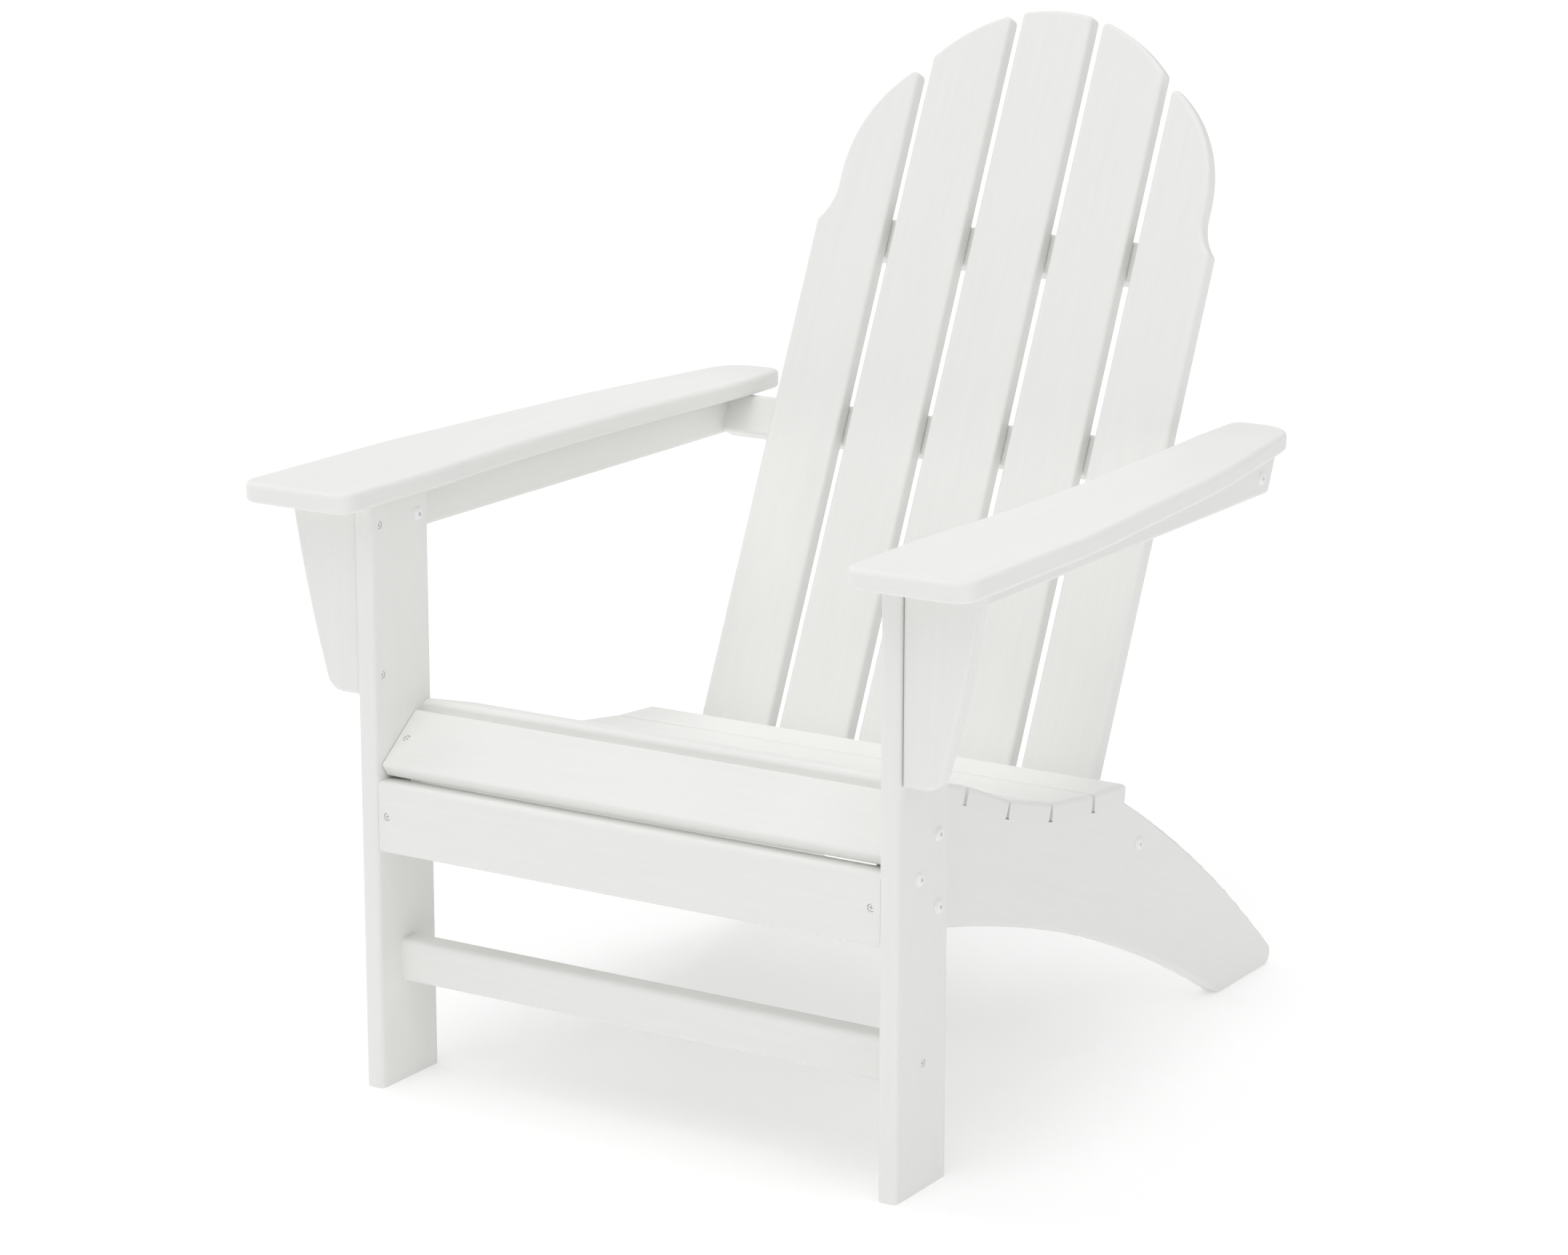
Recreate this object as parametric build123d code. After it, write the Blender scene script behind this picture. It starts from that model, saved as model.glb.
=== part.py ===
from build123d import *
import os
from math import atan2, cos, degrees, radians, sin, sqrt, tan

# All sizes in millimetres. While a piece is drawn, y = 0 is the front face of the front legs,
# y grows towards the back, z = 0 is the ground and +X is the sitter's left hand.

# ---------------------------------------------------------------- board stock
board_t = 19.0          # legs, stringers, arms and brackets
seat_t = 18.0           # seat slats
back_slat_t = 20.0      # back slats
rail_t = 25.4           # stretcher, apron, arm rails and back rails
rail_h = 41.3
edge_r = 4.8            # routed edge on legs, arms, brackets and stretcher
rail_edge_r = 4.0
stringer_edge_r = 3.0

# ---------------------------------------------------------------- front frame
seat_w = 540.0          # clear width between the front legs
leg_depth = 89.0
leg_h = 560.5           # underside of the arms
apron_y = 3.0
apron_h = 68.0
apron_r = 6.0
apron_clear = 0.7       # between the apron and the front slat above it
apron_screw_lift = 2.0  # above the apron's middle
stretcher_y = 33.8
stretcher_z = 97.3

# ---------------------------------------------------------------- arms
arm_overhang = 50.5     # in front of the legs
arm_past_rail = 18.1    # behind the arm rail
arm_outer_x = 113.3     # outer edge, out from the leg's inner face
arm_inner_x = -10.0     # inner edge, measured from the leg's inner face
# plan of the arm's two edges: share of the way back, then how far out from the edge's front end
arm_outer_plan = [(0.26, 0.0), (0.43, -7.5), (0.695, -23.3), (0.84, -39.0), (1.0, -59.5)]
arm_inner_plan = [(1.0, -1.0), (0.89, -0.6), (0.79, 3.2), (0.6, 9.0), (0.42, 9.6),
                  (0.262, 4.4), (0.14, 0.0)]
arm_taper = 0.19        # slope of the outer edge at the rear end
arm_front_outer_r = 22.0
arm_front_inner_r = 19.5
arm_rear_r = 40.0
arm_inner_rear_r = 15.5
arm_rail_past = 7.6     # arm rail's end behind the middle back rail
arm_rail_gap = 1.0      # between the bracket and the arm rail

# ---------------------------------------------------------------- arm brackets
bracket_y = 5.0
bracket_h = 182.0
bracket_top_w = 76.8
bracket_bottom_w = 36.0
bracket_bulge = 3.2
bracket_r = 18.0

# ---------------------------------------------------------------- seat
seat_h = 355.6          # upper outer corner of the front slat
nose_y = 62.8
nose_angle = 37.6       # tilt of the front slat
nose_w = 68.3
nose_end_gap = 0.5      # between the front slat's ends and the legs
nose_front_r = 2.5
nose_low_r = 5.0
nose_rear_r = 2.0
seat_slopes = [-15.9, -22.5, -15.9, -8.2, -4.3]
seat_chords = [73.7, 84.5, 85.3, 84.2, 63.9]
seat_gaps = [6.2, 4.0, 5.0, 5.0]     # at mid thickness
crown_rise = 5.2        # facet left bare between the nose slat and the crown
crown_overhang = 6.0    # first flat slat reaches forward over the nose facet
seat_end_r = 4.8        # routed ends
seat_long_r = 2.4       # eased long edges on top
seat_low_r = 2.4        # eased long edges underneath
seat_front_r = 7.0      # bullnose on the front of the first flat slat
seat_rear_r = 5.0       # rear edge of the last slat

# ---------------------------------------------------------------- stringers
stringer_front_drop = 118.1         # lower front corner, below the seat height
stringer_belly = (363.0, 0.4078)    # a point on the lower edge, height as a share of the seat height
stringer_back_bow = (619.2, 0.4207)         # a point on the upper edge behind the seat
foot_front = 670.3
foot_rear = 804.6       # where the two edges would meet the ground before rounding
foot_front_r = 20.0
foot_rear_r = 12.0
foot_flat_z = 1.0       # the only straight edge below this is the foot's

# ---------------------------------------------------------------- back
lean = 24.87            # degrees from upright
back_behind_seat = 16.4             # front face of the back, behind the last slat's underside
back_slat_w = 79.3
back_slat_gap = 12.7
back_slat_drop = 63.5   # slat ends below the seat, measured down the back
arch_r = 180.0
arch_s = 872.0          # arch centre, measured up the back from the ground
side_arch_r = 140.0
side_arch_x = 68.2
side_arch_drop = 7.0    # centres of the shoulder and hollow, below the arch centre
cove_r = 55.0
cove_drop = 19.0
back_corner_r = 5.0
back_edge_r = 4.5
upper_rail_drop = 67.0  # rail centre below the arch centre
middle_rail_clear = 0.9     # below the arms
lower_rail_drop = 38.8  # below the seat, measured down the back
upper_rail_half = 200.0

# ---------------------------------------------------------------- fasteners
bolt_d = 6.0
bolt_hole = 6.6
bolt_tip = 0.8          # chamfer on a bolt's end
flange_d = 13.2
flange_t = 1.1
flange_edge_r = 0.5
dome_d = 10.6
dome_h = 1.9
dome_edge_r = 1.5
socket_af = 4.0
socket_depth = 2.4
nut_af = 10.0
nut_t = 5.0
thread_past = 3.0       # bolt end beyond its nut
thread_clear = 0.1      # diametral gap where threads would meet
barrel_d = 10.0
barrel_hole = 10.3
barrel_l = 16.0
barrel_inset = 22.0
screw_d = 4.2
screw_hole = 4.4
screw_tip = 4.0
screw_point_r = 0.3
screw_head_d = 6.8
screw_head_h = 2.4
screw_head_r = 0.7
screw_cross = 4.2
screw_slot = 0.9
screw_slot_depth = 1.7
screw_sink = 3.3        # counterbore depth of a visible screw
screw_sink_d = 7.5
screw_l = 38.0
back_screw_l = 34.0
bore_over = 0.5         # a bore starts this far outside its face
pocket_tilt = 15.0
pocket_rise = 28.0
pocket_l = 62.0
pocket_shift = 1.5
arm_screw_sink = 16.0
leg_bolt_front = (8.8, 67.3)        # behind the apron, below the seat height
leg_bolt_rear = [(19.1, 34.2), (18.5, 100.6)]       # from the leg's rear edge, below the seat height
arm_bolt_inset = 17.1   # from the leg's rear edge
bracket_screw_drop = [20.8, 161.8]
arm_screw_y = [190.0, 470.0]
slat_screw_step = (16.0, 18.0)       # between the two screws of a crossing, across and up the back
# how far each cross is turned
screw_turns = {"apron": 8.0, "nose": -14.0, "bracket": 33.0, "stretcher": 24.0}

# ---------------------------------------------------------------- worked out
inner_x = seat_w / 2
outer_x = inner_x + board_t
stringer_x = inner_x - board_t
stringer_mid_x = inner_x - board_t / 2
rail_outer_x = outer_x + rail_t
apron_back = apron_y + rail_t
stretcher_mid = (stretcher_y + rail_t / 2, stretcher_z + rail_h / 2)
rail_depth = back_slat_t + rail_t / 2
slant = tan(radians(lean))
arm_rail_bottom = leg_h - rail_h
rail_mid_z = leg_h - rail_h / 2
slat_pitch = back_slat_w + back_slat_gap
half_back = 2 * slat_pitch + back_slat_w / 2
arm_bolt_yz = (leg_depth - arm_bolt_inset, rail_mid_z)
leg_bolts_yz = [(leg_depth - y, seat_h - z) for y, z in leg_bolt_rear]
leg_bolts_yz.append((apron_back + leg_bolt_front[0], seat_h - leg_bolt_front[1]))

parts = {}


def round_corner(face, at, radius):
    """Round the corner of a flat drawing nearest to a point."""
    corner = face.vertices().sort_by_distance((at[0], at[1], 0))[0]
    return fillet(corner, radius)


def rod(start, direction, diameter, length):
    """Cylinder running from a start point along a direction."""
    plane = Plane(origin=start, z_dir=direction)
    return plane * Pos(0, 0, length / 2) * Cylinder(diameter / 2, length)


def counterbored(seat, direction, sink, length=screw_l):
    """Hole for a screw: wide bore behind the head, narrow bore along the shank."""
    d = Vector(*direction).normalized()
    start = Vector(*seat) - d * sink
    return rod(start, d, screw_sink_d, sink) + rod(Vector(*seat), d, screw_hole, length + bore_over)


def bolt(seat, direction, length):
    """Flanged button-head bolt; seat is the point under the head."""
    flange = Pos(0, 0, -flange_t / 2) * Cylinder(flange_d / 2, flange_t)
    flange = fillet(flange.edges().group_by(Axis.Z)[0], flange_edge_r)
    dome = Pos(0, 0, -flange_t - dome_h / 2) * Cylinder(dome_d / 2, dome_h)
    dome = fillet(dome.edges().group_by(Axis.Z)[0], dome_edge_r)
    shank = Pos(0, 0, length / 2) * Cylinder(bolt_d / 2, length)
    shank = chamfer(shank.edges().group_by(Axis.Z)[-1], bolt_tip)
    socket = extrude(RegularPolygon(socket_af / 2, 6, major_radius=False), socket_depth)
    socket = Pos(0, 0, -flange_t - dome_h) * socket
    return Plane(origin=seat, z_dir=direction) * (flange + dome + shank - socket)


def screw(seat, direction, length=screw_l, turn=0.0):
    """Cross-recess screw; seat is the point under the head, turn is how far the cross is turned."""
    head = Pos(0, 0, -screw_head_h / 2) * Cylinder(screw_head_d / 2, screw_head_h)
    head = fillet(head.edges().group_by(Axis.Z)[0], screw_head_r)
    shank = Pos(0, 0, (length - screw_tip) / 2) * Cylinder(screw_d / 2, length - screw_tip)
    point = Pos(0, 0, length - screw_tip / 2) * Cone(screw_d / 2, screw_point_r, screw_tip)
    blade = Box(screw_cross, screw_slot, 2 * screw_slot_depth)
    cross = Pos(0, 0, -screw_head_h) * Rot(0, 0, turn) * (blade + Rot(0, 0, 90) * blade)
    return Plane(origin=seat, z_dir=direction) * (head + shank + point - cross)


def nut(seat, direction):
    """Hex nut with its face on the seat, growing along the direction."""
    body = extrude(RegularPolygon(nut_af / 2, 6, major_radius=False), nut_t)
    body = body - Pos(0, 0, nut_t / 2) * Cylinder((bolt_d + thread_clear) / 2, nut_t * 2)
    return Plane(origin=seat, z_dir=direction) * body


def both(shape):
    """The shape and its mirror image on the other side of the chair."""
    return [shape, mirror(shape, Plane.YZ)]


def pair(name, shape):
    """Left and right versions of one piece."""
    parts[name + "_left"] = shape
    parts[name + "_right"] = mirror(shape, Plane.YZ)


def group(name, shapes):
    """Several separate fasteners kept in one node."""
    flat = [one for shape in shapes for one in both(shape)]
    parts[name] = Compound(children=flat)


# ---------------------------------------------------------------- seat profile
def step(point, angle, length):
    """Point reached from another by walking a length at an angle above level."""
    a = radians(angle)
    return (point[0] + length * cos(a), point[1] + length * sin(a))


nose_tip = (nose_y, seat_h)
nose_rear_top = step(nose_tip, nose_angle - 90, seat_t)
nose_front_low = step(nose_rear_top, nose_angle + 180, nose_w)
nose_heel_z = nose_front_low[1] + (apron_back - nose_front_low[0]) * tan(radians(nose_angle))
crown = step(nose_rear_top, nose_angle, crown_rise)
facets = [crown]
for slope, chord in zip(seat_slopes, seat_chords):
    facets.append(step(facets[-1], slope, chord))
seat_rear_y, seat_rear_z = facets[-1]
apron_mid_z = nose_front_low[1] - apron_clear - apron_h / 2


def seat_slat(index):
    """Where one flat seat slat starts and ends along its facet."""
    slope = seat_slopes[index]
    trims = []
    for other in (index - 1, index + 1):
        if 0 <= other < len(seat_slopes):
            bend = (seat_slopes[other] - slope) * (1 if other > index else -1)
            trims.append(seat_gaps[min(index, other)] / 2 + seat_t / 2 * tan(radians(bend / 2)))
        else:
            trims.append(-crown_overhang if other < 0 else 0.0)
    return trims[0], seat_chords[index] - trims[1]


# ---------------------------------------------------------------- plane of the back
back_foot_y = seat_rear_y + back_behind_seat - seat_rear_z * slant
lean_cos = cos(radians(lean))
lean_sin = sin(radians(lean))
seat_s = seat_rear_z / lean_cos
back = Plane(origin=(0, back_foot_y, 0), x_dir=(1, 0, 0),
             z_dir=(0, -lean_cos, lean_sin))
back_slat_bottom = seat_s - back_slat_drop
lower_rail_s = seat_s - lower_rail_drop
middle_rail_reach = rail_h / 2 * lean_cos + rail_t / 2 * lean_sin - rail_edge_r * (lean_cos + lean_sin - 1)
middle_rail_s = (leg_h - middle_rail_clear - middle_rail_reach) / lean_cos + rail_depth * slant
upper_rail_s = arch_s - upper_rail_drop
side_arch_s = arch_s - side_arch_drop
cove_s = arch_s - cove_drop

# ---------------------------------------------------------------- stringers
front_low = (apron_back, seat_h - stringer_front_drop)
front_high = (apron_back, nose_heel_z)
outline = [Line(front_low, front_high), Line(front_high, crown)]
outline += [Line(facets[i], facets[i + 1]) for i in range(len(facets) - 1)]
outline += [
    ThreePointArc(facets[-1], (stringer_back_bow[0], stringer_back_bow[1] * seat_h), (foot_rear, 0)),
    Line((foot_rear, 0), (foot_front, 0)),
    ThreePointArc((foot_front, 0), (stringer_belly[0], stringer_belly[1] * seat_h), front_low),
]
drawing = make_face(outline)
drawing = round_corner(drawing, (foot_rear, 0), foot_rear_r)
drawing = round_corner(drawing, (foot_front, 0), foot_front_r)
stringer = extrude(Plane.YZ * drawing, board_t)
rim_edges = [e for f in stringer.faces().filter_by(Axis.X) for e in f.edges()]
rim_edges = [e for e in rim_edges if e.geom_type != GeomType.LINE or e.center().Z < foot_flat_z]
stringer = fillet(rim_edges, stringer_edge_r)
stringer = Pos(stringer_x, 0, 0) * stringer

# ---------------------------------------------------------------- seat slats and their screws
def ease_slat(width, front_r, rear_r):
    """Flat seat slat resting on z = 0, length along Y, front edge towards -X: a long bar with the rounded
    section, kept where it lies inside the rounded side view. The ends stay square underneath."""
    half_w = width / 2
    section = Pos(0, seat_t / 2) * Rectangle(width, seat_t)
    corners = [((-half_w, seat_t), front_r), ((half_w, seat_t), rear_r),
               ((-half_w, 0), seat_low_r), ((half_w, 0), seat_low_r)]
    for at, radius in corners:
        section = round_corner(section, at, radius)
    side_view = Rectangle(seat_w, 2 * seat_t)
    for side in (-1, 1):
        side_view = round_corner(side_view, (side * seat_w / 2, seat_t), seat_end_r)
    bar = extrude(Plane.XZ * section, seat_w, both=True)
    return bar & extrude(Plane.YZ * side_view, width, both=True)


pocket_cuts = []
pocket_screws = []
lean_in = radians(pocket_tilt)
for index, slope in enumerate(seat_slopes):
    start, end = seat_slat(index)
    base = facets[index]
    along = (0, cos(radians(slope)), sin(radians(slope)))
    up = (0, -sin(radians(slope)), cos(radians(slope)))
    facet = Plane(origin=(0, base[0], base[1]), x_dir=along, z_dir=up)
    front_r = seat_front_r if index == 0 else seat_long_r
    rear_r = seat_rear_r if index == len(seat_slopes) - 1 else seat_long_r
    slat = facet * Pos((start + end) / 2, 0, 0) * ease_slat(end - start, front_r, rear_r)
    middle = seat_chords[index] / 2
    axis = Vector(sin(lean_in), up[1] * cos(lean_in), up[2] * cos(lean_in))
    crossing = Vector(stringer_mid_x + pocket_shift, *step(base, slope, middle))
    seat_point = crossing - axis * pocket_rise
    hole = counterbored(seat_point, axis, pocket_l)
    driver = screw(seat_point, axis)
    pocket_cuts.append(hole)
    pocket_screws.append(driver)
    for side in both(hole):
        slat = slat - side
    parts["seat_slat_" + str(index + 1)] = slat

nose_dir = (0, cos(radians(nose_angle)), sin(radians(nose_angle)))
nose_in = (0, sin(radians(nose_angle)), -cos(radians(nose_angle)))
nose_mid = step(nose_tip, nose_angle + 180, nose_w / 2)
nose_plane = Plane(origin=(0, nose_mid[0], nose_mid[1]), x_dir=(1, 0, 0), z_dir=nose_in)
nose = Pos(0, 0, seat_t / 2) * Box(seat_w - 2 * nose_end_gap, nose_w, seat_t)
low_edges = nose.edges().filter_by(Axis.X).group_by(Axis.Y)[-1].sort_by(Axis.Z)
nose = fillet(low_edges[0], nose_front_r)
nose = fillet(nose.edges().filter_by(Axis.X).group_by(Axis.Y)[-1].sort_by(Axis.Z)[-1], nose_low_r)
nose = fillet(nose.edges().filter_by(Axis.X).group_by(Axis.Y)[0], nose_rear_r)
nose = nose_plane * nose
nose_seat = Vector(stringer_mid_x, nose_mid[0], nose_mid[1]) + Vector(*nose_in) * screw_sink
nose_hole = counterbored(nose_seat, nose_in, screw_sink + bore_over)
for side in both(nose_hole):
    nose = nose - side
parts["seat_nose_slat"] = nose

# ---------------------------------------------------------------- apron and stretcher
apron = Pos(0, apron_y + rail_t / 2, apron_mid_z) * Box(seat_w, rail_t, apron_h)
apron = fillet(apron.edges().filter_by(Axis.X), apron_r)
apron_seat = (stringer_mid_x, apron_y + screw_sink, apron_mid_z + apron_screw_lift)
apron_hole = counterbored(apron_seat, (0, 1, 0), screw_sink + bore_over)
for side in both(apron_hole):
    apron = apron - side
parts["front_apron"] = apron

stretcher = Pos(0, *stretcher_mid) * Box(seat_w, rail_t, rail_h)
stretcher = fillet(stretcher.edges().filter_by(Axis.X), edge_r)
stretcher_seat = (outer_x - screw_sink, *stretcher_mid)
stretcher_hole = counterbored(stretcher_seat, (-1, 0, 0), screw_sink + bore_over)
for side in both(stretcher_hole):
    stretcher = stretcher - side
parts["front_stretcher"] = stretcher

# ---------------------------------------------------------------- front legs
leg = Pos(inner_x + board_t / 2, leg_depth / 2, leg_h / 2) * Box(board_t, leg_depth, leg_h)
leg = fillet(leg.edges().filter_by(Axis.Z), edge_r)
leg_cuts = [rod((stringer_x - 1, y, z), (1, 0, 0), bolt_hole, 2 * board_t + 2) for y, z in leg_bolts_yz]
arm_bolt_cut = rod((inner_x - 1, *arm_bolt_yz), (1, 0, 0), bolt_hole, board_t + rail_t + 2)
bracket_mid_y = bracket_y + board_t / 2
bracket_seats = [(inner_x + screw_sink, bracket_mid_y, leg_h - drop) for drop in bracket_screw_drop]
bracket_holes = [counterbored(seat, (1, 0, 0), screw_sink + bore_over) for seat in bracket_seats]
for cut in leg_cuts + bracket_holes + [arm_bolt_cut, stretcher_hole]:
    leg = leg - cut
pair("front_leg", leg)

# ---------------------------------------------------------------- arm brackets
bracket_bottom = leg_h - bracket_h
chord_top = (outer_x + bracket_top_w, leg_h)
chord_low = (outer_x + bracket_bottom_w, bracket_bottom)
chord_mid = ((chord_top[0] + chord_low[0]) / 2, (chord_top[1] + chord_low[1]) / 2)
bow = (chord_mid[0] + bracket_bulge, chord_mid[1] - bracket_bulge * 0.2)
edges = [
    Line((outer_x, bracket_bottom), (outer_x, leg_h)),
    Line((outer_x, leg_h), chord_top),
    ThreePointArc(chord_top, bow, chord_low),
    Line(chord_low, (outer_x, bracket_bottom)),
]
drawing = round_corner(make_face(edges), chord_low, bracket_r)
bracket = Pos(0, bracket_y + board_t, 0) * extrude(Plane.XZ * drawing, board_t)
rims = [e for f in bracket.faces().filter_by(Axis.Y) for e in f.edges()]
bracket = fillet([e for e in rims if e.center().Z < leg_h - 0.1], edge_r)
for cut in bracket_holes:
    bracket = bracket - cut
pair("arm_bracket", bracket)

# ---------------------------------------------------------------- arm rails
tail_depth = back_slat_t + rail_t + arm_rail_past
tail = [back_foot_y + slant * z + tail_depth / lean_cos for z in (arm_rail_bottom, leg_h)]
rail_front = bracket_y + board_t + arm_rail_gap
drawing = make_face(Polyline((rail_front, arm_rail_bottom), (tail[0], arm_rail_bottom),
                             (tail[1], leg_h), (rail_front, leg_h), close=True))
arm_rail = Pos(outer_x, 0, 0) * extrude(Plane.YZ * drawing, rail_t)
arm_rail = fillet(arm_rail.edges().filter_by(Axis.Y), rail_edge_r)
arm_rail = arm_rail - arm_bolt_cut


def on_back(x, s, depth):
    """Point given across the back, up the back and behind its front face."""
    return back.from_local_coords((x, s, -depth))


middle_mid = on_back(0, middle_rail_s, rail_depth)
lower_mid = on_back(0, lower_rail_s, rail_depth)
middle_bolt_seat = (rail_outer_x, middle_mid.Y, middle_mid.Z)
middle_bolt_l = rail_t + barrel_inset + barrel_d / 2 + thread_past
middle_bolt_cut = rod(middle_bolt_seat, (-1, 0, 0), bolt_hole, middle_bolt_l + 2)
arm_rail = arm_rail - middle_bolt_cut
arm_seats = [(outer_x + rail_t / 2, y, arm_rail_bottom + arm_screw_sink) for y in arm_screw_y]
arm_holes = [counterbored(seat, (0, 0, 1), arm_screw_sink + bore_over) for seat in arm_seats]
for cut in arm_holes:
    arm_rail = arm_rail - cut
pair("arm_rail", arm_rail)

# ---------------------------------------------------------------- arms
front = -arm_overhang
run = tail[1] + arm_past_rail - front
out = inner_x + arm_outer_x
inn = inner_x + arm_inner_x
outer_points = [(out + dx, front + share * run) for share, dx in arm_outer_plan]
inner_points = [(inn + dx, front + share * run) for share, dx in arm_inner_plan]
edges = [
    Line((inn, front), (out, front)),
    Line((out, front), outer_points[0]),
    Spline(*outer_points, tangents=[(0, 1), (-arm_taper, 1)]),
    Line(outer_points[-1], inner_points[0]),
    Spline(*inner_points, tangents=[(0, -1), (0, -1)]),
    Line(inner_points[-1], (inn, front)),
]
drawing = make_face(edges)
drawing = round_corner(drawing, (inn, front), arm_front_inner_r)
drawing = round_corner(drawing, (out, front), arm_front_outer_r)
drawing = round_corner(drawing, outer_points[-1], arm_rear_r)
drawing = round_corner(drawing, inner_points[0], arm_inner_rear_r)
arm = Pos(0, 0, leg_h) * extrude(drawing, board_t)
arm = fillet([e for f in arm.faces().filter_by(Axis.Z) for e in f.edges()], edge_r)
for cut in arm_holes:
    arm = arm - cut
pair("arm", arm)

# ---------------------------------------------------------------- stringer holes
stringer_bolt_cut = rod((inner_x, lower_mid.Y, lower_mid.Z), (-1, 0, 0), bolt_hole, board_t + 2)
for cut in leg_cuts + pocket_cuts + [stringer_bolt_cut, apron_hole, nose_hole]:
    stringer = stringer - cut
pair("stringer", stringer)

# ---------------------------------------------------------------- back rails
lower_bolt_seat = (inner_x, lower_mid.Y, lower_mid.Z)
lower_bolt_l = board_t + barrel_inset + barrel_d / 2 + thread_past
lower_bolt_cut = rod(lower_bolt_seat, (-1, 0, 0), bolt_hole, lower_bolt_l + 2)
slat_centres = [slat_pitch * k for k in (-2, -1, 0, 1, 2)]
back_in = -back.z_dir
slat_screws = []
slat_screw_holes = []
for s in (upper_rail_s, middle_rail_s, lower_rail_s):
    for centre in slat_centres:
        rise = -slat_screw_step[1] if centre < 0 else slat_screw_step[1]
        for side in (-1, 1):
            x = centre + side * slat_screw_step[0] / 2
            up_back = s + side * rise / 2
            seat_point = on_back(x, up_back, back_slat_t + rail_t - screw_sink)
            slat_screws.append(screw(seat_point, back.z_dir, back_screw_l))
            hole = counterbored(seat_point, back.z_dir, screw_sink + bore_over, back_screw_l)
            slat_screw_holes.append(hole)

rail_layout = {
    "back_rail_upper": (upper_rail_s, upper_rail_half),
    "back_rail_middle": (middle_rail_s, outer_x),
    "back_rail_lower": (lower_rail_s, stringer_x),
}
barrels = {}
barrel_cut_depth = rail_t / 2 + barrel_l / 2
for name, (s, half) in rail_layout.items():
    rail = back * Pos(0, s, -rail_depth) * Box(2 * half, rail_h, rail_t)
    rail = fillet(rail.edges().filter_by(Axis.X), rail_edge_r)
    for hole in slat_screw_holes:
        rail = rail - hole
    if name != "back_rail_upper":
        x = half - barrel_inset
        rear = on_back(x, s, back_slat_t + rail_t)
        nut_hole = rod(rear, back.z_dir, barrel_hole, barrel_cut_depth)
        for side in both(nut_hole):
            rail = rail - side
        cut = middle_bolt_cut if name == "back_rail_middle" else lower_bolt_cut
        for side in both(cut):
            rail = rail - side
        start = on_back(x, s, rail_depth + barrel_l / 2)
        barrel = rod(start, back.z_dir, barrel_d, barrel_l)
        thread = rod(on_back(x - barrel_d, s, rail_depth), (1, 0, 0), bolt_d + thread_clear, 2 * barrel_d)
        barrels[name] = barrel - thread
    parts[name] = rail

# ---------------------------------------------------------------- back slats
def arch_height(x):
    """Height up the back of the middle arch at a distance from the centre."""
    return arch_s + sqrt(arch_r ** 2 - x ** 2)


def finish_slat(drawing, corners):
    """Thicken a slat drawing, round its corners and rout its edges."""
    for corner in corners:
        drawing = round_corner(drawing, corner, back_corner_r)
    slat = extrude(back * drawing, back_slat_t, dir=back_in)
    rims = [f for f in slat.faces() if abs(f.normal_at().dot(back.z_dir)) > 0.999]
    rim_edges = [e for f in rims for e in f.edges()]
    rim_edges = [e for e in rim_edges if back.to_local_coords(e.center()).Y > back_slat_bottom + 1]
    slat = fillet(rim_edges, back_edge_r)
    for hole in slat_screw_holes:
        slat = slat - hole
    return slat


def arch_slat(centre):
    """Slat whose top follows the middle arch."""
    a = centre - back_slat_w / 2
    b = centre + back_slat_w / 2
    top_a = (a, arch_height(a))
    top_b = (b, arch_height(b))
    edges = [
        Line((a, back_slat_bottom), (b, back_slat_bottom)),
        Line((b, back_slat_bottom), top_b),
        ThreePointArc(top_b, (centre, arch_height(centre)), top_a),
        Line(top_a, (a, back_slat_bottom)),
    ]
    return finish_slat(make_face(edges), [top_a, top_b])


def shoulder_slat():
    """Outer slat with the curved shoulder and the hollow below it."""
    a = half_back - back_slat_w
    b = half_back
    reach = side_arch_x + side_arch_r
    cove_x = reach + cove_r
    top_s = side_arch_s + sqrt(side_arch_r ** 2 - (a - side_arch_x) ** 2)
    turn = degrees(atan2(top_s - side_arch_s, a - side_arch_x)) / 2
    mid = (side_arch_x + side_arch_r * cos(radians(turn)), side_arch_s + side_arch_r * sin(radians(turn)))
    low_s = cove_s - sqrt(cove_r ** 2 - (cove_x - b) ** 2)
    dip = atan2(low_s - cove_s, b - cove_x)
    bend = (dip - radians(180)) / 2 if dip > 0 else (dip + radians(180)) / 2 + radians(180)
    hollow = (cove_x + cove_r * cos(bend), cove_s + cove_r * sin(bend))
    edges = [
        Line((a, back_slat_bottom), (b, back_slat_bottom)),
        Line((b, back_slat_bottom), (b, low_s)),
        ThreePointArc((b, low_s), hollow, (reach, cove_s)),
        Line((reach, cove_s), (reach, side_arch_s)),
        ThreePointArc((reach, side_arch_s), mid, (a, top_s)),
        Line((a, top_s), (a, back_slat_bottom)),
    ]
    return finish_slat(make_face(edges), [(b, low_s), (a, top_s)])


parts["back_slat_center"] = arch_slat(0)
parts["back_slat_inner_left"] = arch_slat(slat_pitch)
parts["back_slat_inner_right"] = arch_slat(-slat_pitch)
pair("back_slat_outer", shoulder_slat())

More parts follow.
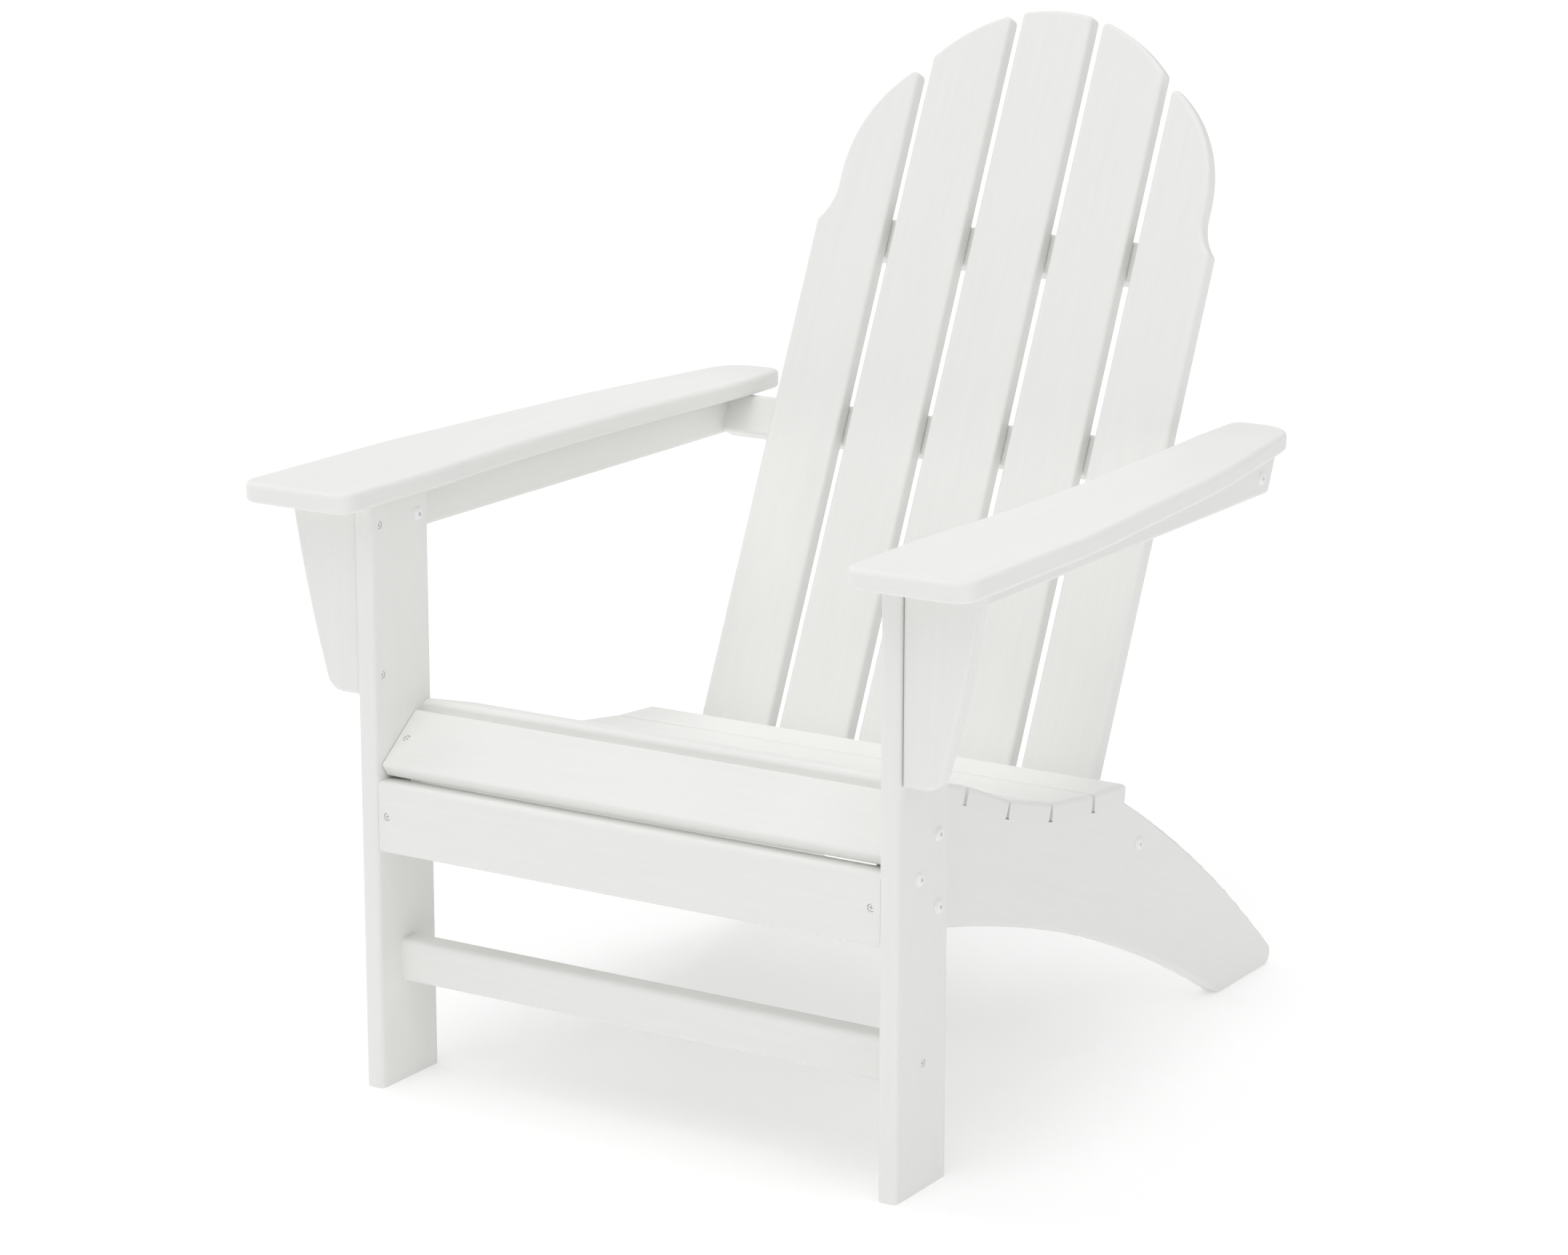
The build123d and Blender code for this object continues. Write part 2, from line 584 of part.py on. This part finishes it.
# ---------------------------------------------------------------- fasteners
arm_nut_seat = (rail_outer_x, *arm_bolt_yz)
leg_bolt_l = 2 * board_t + nut_t + thread_past
arm_bolt_l = board_t + rail_t + nut_t + thread_past
group("leg_bolts", [bolt((outer_x, y, z), (-1, 0, 0), leg_bolt_l) for y, z in leg_bolts_yz])
group("leg_bolt_nuts", [nut((stringer_x, y, z), (-1, 0, 0)) for y, z in leg_bolts_yz])
group("arm_rail_bolts", [bolt((inner_x, *arm_bolt_yz), (1, 0, 0), arm_bolt_l)])
group("arm_rail_nuts", [nut(arm_nut_seat, (1, 0, 0))])
group("middle_rail_bolts", [bolt(middle_bolt_seat, (-1, 0, 0), middle_bolt_l)])
group("lower_rail_bolts", [bolt(lower_bolt_seat, (-1, 0, 0), lower_bolt_l)])
group("barrel_nuts", list(barrels.values()))
group("apron_screws", [screw(apron_seat, (0, 1, 0), turn=screw_turns["apron"])])
group("nose_slat_screws", [screw(nose_seat, nose_in, turn=screw_turns["nose"])])
group("bracket_screws", [screw(seat, (1, 0, 0), turn=screw_turns["bracket"]) for seat in bracket_seats])
group("stretcher_screws", [screw(stretcher_seat, (-1, 0, 0), turn=screw_turns["stretcher"])])
group("seat_slat_screws", pocket_screws)
group("arm_screws", [screw(seat, (0, 0, 1)) for seat in arm_seats])
parts["back_slat_screws"] = Compound(children=slat_screws)

# ---------------------------------------------------------------- export, origin under the middle
extent = Compound(children=[Compound(shape.solids()) for shape in parts.values()]).bounding_box()
middle_y = (extent.min.Y + extent.max.Y) / 2
print("origin", middle_y, "size", extent.size)
os.makedirs("parts", exist_ok=True)
for name, shape in parts.items():
    export_step(Pos(0, -middle_y, 0) * shape, "parts/" + name + ".step")
    print(name, len(shape.solids()))
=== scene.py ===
"""Looks for a white recycled-lumber garden chair: brushed boards, painted fasteners, floor, light and camera."""

import math

import bpy
from mathutils import Matrix, Vector

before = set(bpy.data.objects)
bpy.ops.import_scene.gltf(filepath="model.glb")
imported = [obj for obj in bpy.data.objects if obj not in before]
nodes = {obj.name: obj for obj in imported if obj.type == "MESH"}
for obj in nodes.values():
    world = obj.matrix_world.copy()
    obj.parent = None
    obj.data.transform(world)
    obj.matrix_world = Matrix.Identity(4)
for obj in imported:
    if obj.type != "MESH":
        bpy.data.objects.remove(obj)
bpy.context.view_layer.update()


# ---------------------------------------------------------------- shader maths
class Maths:
    """Wraps a socket so that arithmetic on it adds Math nodes to the same tree."""

    def __init__(self, tree, socket):
        self.tree = tree
        self.socket = socket

    def _calc(self, operation, *values):
        node = self.tree.nodes.new("ShaderNodeMath")
        node.operation = operation
        for place, value in enumerate(values):
            put(self.tree, node.inputs[place], value)
        return Maths(self.tree, node.outputs[0])

    def __add__(self, other):
        return self._calc("ADD", self, other)

    def __radd__(self, other):
        return self._calc("ADD", other, self)

    def __sub__(self, other):
        return self._calc("SUBTRACT", self, other)

    def __rsub__(self, other):
        return self._calc("SUBTRACT", other, self)

    def __mul__(self, other):
        return self._calc("MULTIPLY", self, other)

    def __abs__(self):
        return self._calc("ABSOLUTE", self)

    def node(self, kind, settings=None, out=0, **values):
        """Any other node of this tree: its settings first, then its sockets by name, spaces written as _."""
        made = self.tree.nodes.new(kind)
        for key, value in (settings or {}).items():
            setattr(made, key, value)
        for key, value in values.items():
            put(self.tree, made.inputs[key.replace("_", " ")], value)
        return Maths(self.tree, made.outputs[out])


def put(tree, socket, value):
    """Sets a socket to a number or links it to a wrapped socket."""
    if isinstance(value, Maths):
        tree.links.new(value.socket, socket)
    else:
        socket.default_value = value


def new_material(name):
    """An empty material with its Principled shader, and a wrapped Object coordinate socket and its Normal."""
    material = bpy.data.materials.new(name)
    material.use_nodes = True
    tree = material.node_tree
    tree.nodes.clear()
    output = tree.nodes.new("ShaderNodeOutputMaterial")
    shader = tree.nodes.new("ShaderNodeBsdfPrincipled")
    tree.links.new(shader.outputs[0], output.inputs[0])
    place = tree.nodes.new("ShaderNodeTexCoord")
    return material, tree, shader, Maths(tree, place.outputs["Object"]), Maths(tree, place.outputs["Normal"])


# ---------------------------------------------------------------- finishes
WHITE = (0.87, 0.87, 0.852)


def lumber(name, turn, shift):
    """Brushed plastic lumber. turn is the rotation that lays the board's length along x, shift moves the grain
    so that no two boards share it. Grain is noise squeezed across the board and stretched along it, in three
    widths: broad clouds of shade, brush lines, and hair-fine scratches; sawn ends show a speckle instead."""
    material, tree, shader, place, normal = new_material(name)
    board = place.node("ShaderNodeMapping", Vector=place, Rotation=turn, Location=shift)
    facing = place.node("ShaderNodeMapping", {"vector_type": "VECTOR"}, Vector=normal, Rotation=turn)
    along_normal = place.node("ShaderNodeSeparateXYZ", Vector=facing)
    end = place.node("ShaderNodeMapRange", {"interpolation_type": "SMOOTHSTEP"},
                     Value=abs(along_normal), From_Min=0.75, From_Max=0.95)

    def streaks(along, across, detail, rough):
        """Noise with one frequency along the board and another across it, per metre."""
        stretched = place.node("ShaderNodeMapping", Vector=board, Scale=(along, across, across))
        return place.node("ShaderNodeTexNoise", Vector=stretched, Scale=1.0, Detail=detail, Roughness=rough)

    clouds = streaks(3.0, 22.0, 3.0, 0.5)
    lines = streaks(9.0, 170.0, 4.0, 0.62)
    hairs = streaks(26.0, 900.0, 3.0, 0.6)
    speckle = streaks(520.0, 620.0, 3.0, 0.65)
    side = 1 - end
    shade = (1 + (clouds - 0.5) * 0.026 + (lines - 0.5) * side * 0.045
             + (hairs - 0.5) * side * 0.04 + (speckle - 0.5) * (0.02 + end * 0.06))
    tint = place.node("ShaderNodeMix", {"data_type": "RGBA", "blend_type": "MULTIPLY"}, out=2)
    mix = tint.socket.node
    mix.inputs[0].default_value = 1.0
    mix.inputs[6].default_value = (*WHITE, 1.0)
    grey = place.node("ShaderNodeCombineColor", Red=shade, Green=shade, Blue=shade)
    tree.links.new(grey.socket, mix.inputs[7])
    put(tree, shader.inputs["Base Color"], tint)
    roughness = 0.56 + (lines - 0.5) * 0.22 + (hairs - 0.5) * 0.16 + end * 0.12
    put(tree, shader.inputs["Roughness"], roughness)
    height = ((lines - 0.5) * side * 0.9 + (hairs - 0.5) * side * 0.5
              + (speckle - 0.5) * (0.08 + end * 0.5) + (clouds - 0.5) * 0.6)
    bump = place.node("ShaderNodeBump", Strength=0.8, Distance=0.0002, Height=height)
    put(tree, shader.inputs["Normal"], bump)
    shader.inputs["IOR"].default_value = 1.5
    shader.inputs["Specular IOR Level"].default_value = 0.42
    return material


def painted_metal():
    """White baked paint on a fastener: a fine orange-peel skin with faint blotches in its shade and sheen."""
    material, tree, shader, place, _ = new_material("white_fastener_paint")
    peel = place.node("ShaderNodeTexNoise", Vector=place, Scale=900.0, Detail=2.0, Roughness=0.5)
    blotch = place.node("ShaderNodeTexNoise", Vector=place, Scale=260.0, Detail=3.0, Roughness=0.6)
    shade = 0.93 + (blotch - 0.5) * 0.05
    colour = place.node("ShaderNodeCombineColor", Red=shade, Green=shade, Blue=shade)
    put(tree, shader.inputs["Base Color"], colour)
    put(tree, shader.inputs["Roughness"], 0.42 + (blotch - 0.5) * 0.18)
    bump = place.node("ShaderNodeBump", Strength=0.5, Distance=0.00006, Height=peel)
    put(tree, shader.inputs["Normal"], bump)
    return material


def plain_steel():
    """Stainless nuts and hidden screws: fine scratches over a faintly clouded sheen."""
    material, tree, shader, place, _ = new_material("stainless_fastener")
    scratch = place.node("ShaderNodeTexNoise", Vector=place, Scale=1400.0, Detail=4.0, Roughness=0.7)
    cloud = place.node("ShaderNodeTexNoise", Vector=place, Scale=120.0, Detail=2.0, Roughness=0.5)
    shade = 0.50 + (cloud - 0.5) * 0.14 + (scratch - 0.5) * 0.10
    colour = place.node("ShaderNodeCombineColor", Red=shade, Green=shade, Blue=shade * 0.985)
    put(tree, shader.inputs["Base Color"], colour)
    put(tree, shader.inputs["Roughness"], 0.30 + (scratch - 0.5) * 0.30)
    bump = place.node("ShaderNodeBump", Strength=0.4, Distance=0.00005, Height=scratch)
    put(tree, shader.inputs["Normal"], bump)
    shader.inputs["Metallic"].default_value = 1.0
    return material


def lay_along(angle):
    """Rotation that turns a length lying in the side plane, at an angle above level, onto x."""
    return (math.radians(-angle), 0.0, math.radians(-90.0))


# which way each board's length runs
LEAN = 24.87
ACROSS = (0.0, 0.0, 0.0)
UPRIGHT = lay_along(90.0)
LEVEL = lay_along(0.0)
UP_THE_BACK = lay_along(90.0 - LEAN)
PLANK = lay_along(-21.0)

board_turns = {
    "front_apron": ACROSS, "front_stretcher": ACROSS, "seat_nose_slat": ACROSS,
    "seat_slat_1": ACROSS, "seat_slat_2": ACROSS, "seat_slat_3": ACROSS,
    "seat_slat_4": ACROSS, "seat_slat_5": ACROSS,
    "back_rail_upper": ACROSS, "back_rail_middle": ACROSS, "back_rail_lower": ACROSS,
    "front_leg_left": UPRIGHT, "front_leg_right": UPRIGHT,
    "arm_bracket_left": UPRIGHT, "arm_bracket_right": UPRIGHT,
    "arm_left": LEVEL, "arm_right": LEVEL, "arm_rail_left": LEVEL, "arm_rail_right": LEVEL,
    "stringer_left": PLANK, "stringer_right": PLANK,
    "back_slat_center": UP_THE_BACK, "back_slat_inner_left": UP_THE_BACK,
    "back_slat_inner_right": UP_THE_BACK, "back_slat_outer_left": UP_THE_BACK,
    "back_slat_outer_right": UP_THE_BACK,
}
painted = ["leg_bolts", "arm_rail_bolts", "middle_rail_bolts", "lower_rail_bolts", "apron_screws",
           "nose_slat_screws", "bracket_screws", "stretcher_screws"]


def dress(name, material):
    """Gives one CAD piece one finish."""
    mesh = nodes[name].data
    mesh.materials.clear()
    mesh.materials.append(material)


for count, (name, turn) in enumerate(board_turns.items()):
    shift = (0.37 * count + 0.11, 0.83 * count + 0.29, 0.59 * count + 0.47)
    dress(name, lumber("lumber_" + name, turn, shift))
paint = painted_metal()
steel = plain_steel()
for name in nodes:
    if name not in board_turns:
        dress(name, paint if name in painted else steel)

# ---------------------------------------------------------------- floor, light and camera
floor_mesh = bpy.data.meshes.new("floor")
reach = 60.0
floor_mesh.from_pydata([(-reach, -reach, 0), (reach, -reach, 0), (reach, reach, 0), (-reach, reach, 0)],
                       [], [(0, 1, 2, 3)])
floor = bpy.data.objects.new("floor", floor_mesh)
bpy.context.scene.collection.objects.link(floor)
floor_material, _, floor_shader, _, _ = new_material("pale_floor")
floor_shader.inputs["Base Color"].default_value = (0.80, 0.80, 0.80, 1.0)
floor_shader.inputs["Roughness"].default_value = 0.9
floor_shader.inputs["Specular IOR Level"].default_value = 0.0
floor_shader.inputs["Emission Color"].default_value = (1.0, 1.0, 1.0, 1.0)
floor_shader.inputs["Emission Strength"].default_value = 0.268
floor_mesh.materials.append(floor_material)

world = bpy.data.worlds.new("studio")
world.use_nodes = True
sky = world.node_tree
sky.nodes["Background"].inputs["Color"].default_value = (1.0, 1.0, 1.0, 1.0)
sky.nodes["Background"].inputs["Strength"].default_value = 0.33
white_wall = sky.nodes.new("ShaderNodeBackground")
white_wall.inputs["Color"].default_value = (1.0, 1.0, 1.0, 1.0)
seen = sky.nodes.new("ShaderNodeLightPath")
choose = sky.nodes.new("ShaderNodeMixShader")
sky.links.new(seen.outputs["Is Camera Ray"], choose.inputs[0])
sky.links.new(sky.nodes["Background"].outputs[0], choose.inputs[1])
sky.links.new(white_wall.outputs[0], choose.inputs[2])
sky.links.new(choose.outputs[0], sky.nodes["World Output"].inputs[0])
bpy.context.scene.world = world

# Soft boxes round the chair: bearing in degrees (0 is in front, 90 on the sitter's left), height, strength
SOFT_BOXES = ((0, 90, 0.62), (0, 68, 0.36), (0, 40, 0.465), (45, 40, 0.16), (90, 40, 0.41), (180, 40, 0.08),
              (225, 40, 0.33), (270, 40, 0.15), (270, 12, 0.60))
SOFT_BOX_SPREAD = math.radians(46.0)
for count, (bearing, height, strength) in enumerate(SOFT_BOXES):
    turn, rise = math.radians(bearing), math.radians(height)
    box = bpy.data.lights.new("soft_box_%d" % count, "SUN")
    box.energy = strength
    box.angle = SOFT_BOX_SPREAD
    box_object = bpy.data.objects.new(box.name, box)
    box_object.rotation_mode = "QUATERNION"
    toward = Vector((math.sin(turn) * math.cos(rise), -math.cos(turn) * math.cos(rise), math.sin(rise)))
    box_object.rotation_quaternion = toward.to_track_quat("Z", "Y")
    bpy.context.scene.collection.objects.link(box_object)

lens = bpy.data.cameras.new("camera")
lens.lens = 99.80
lens.sensor_width = 36.0
lens.shift_x = -0.00063
lens.shift_y = 0.0045
lens.clip_end = 200.0
camera = bpy.data.objects.new("camera", lens)
yaw = math.radians(32.018)
pitch = math.radians(-14.043)
roll = math.radians(0.038)
camera.location = (2.095696, -3.453493, 1.405408)
look = Vector((-math.sin(yaw) * math.cos(pitch), math.cos(yaw) * math.cos(pitch), math.sin(pitch)))
camera.rotation_mode = "QUATERNION"
camera.rotation_quaternion = (look.to_track_quat("-Z", "Y").to_matrix().to_4x4()
                              @ Matrix.Rotation(roll, 4, "Z")).to_quaternion()
bpy.context.scene.collection.objects.link(camera)
bpy.context.scene.camera = camera
bpy.context.scene.view_settings.view_transform = "Standard"
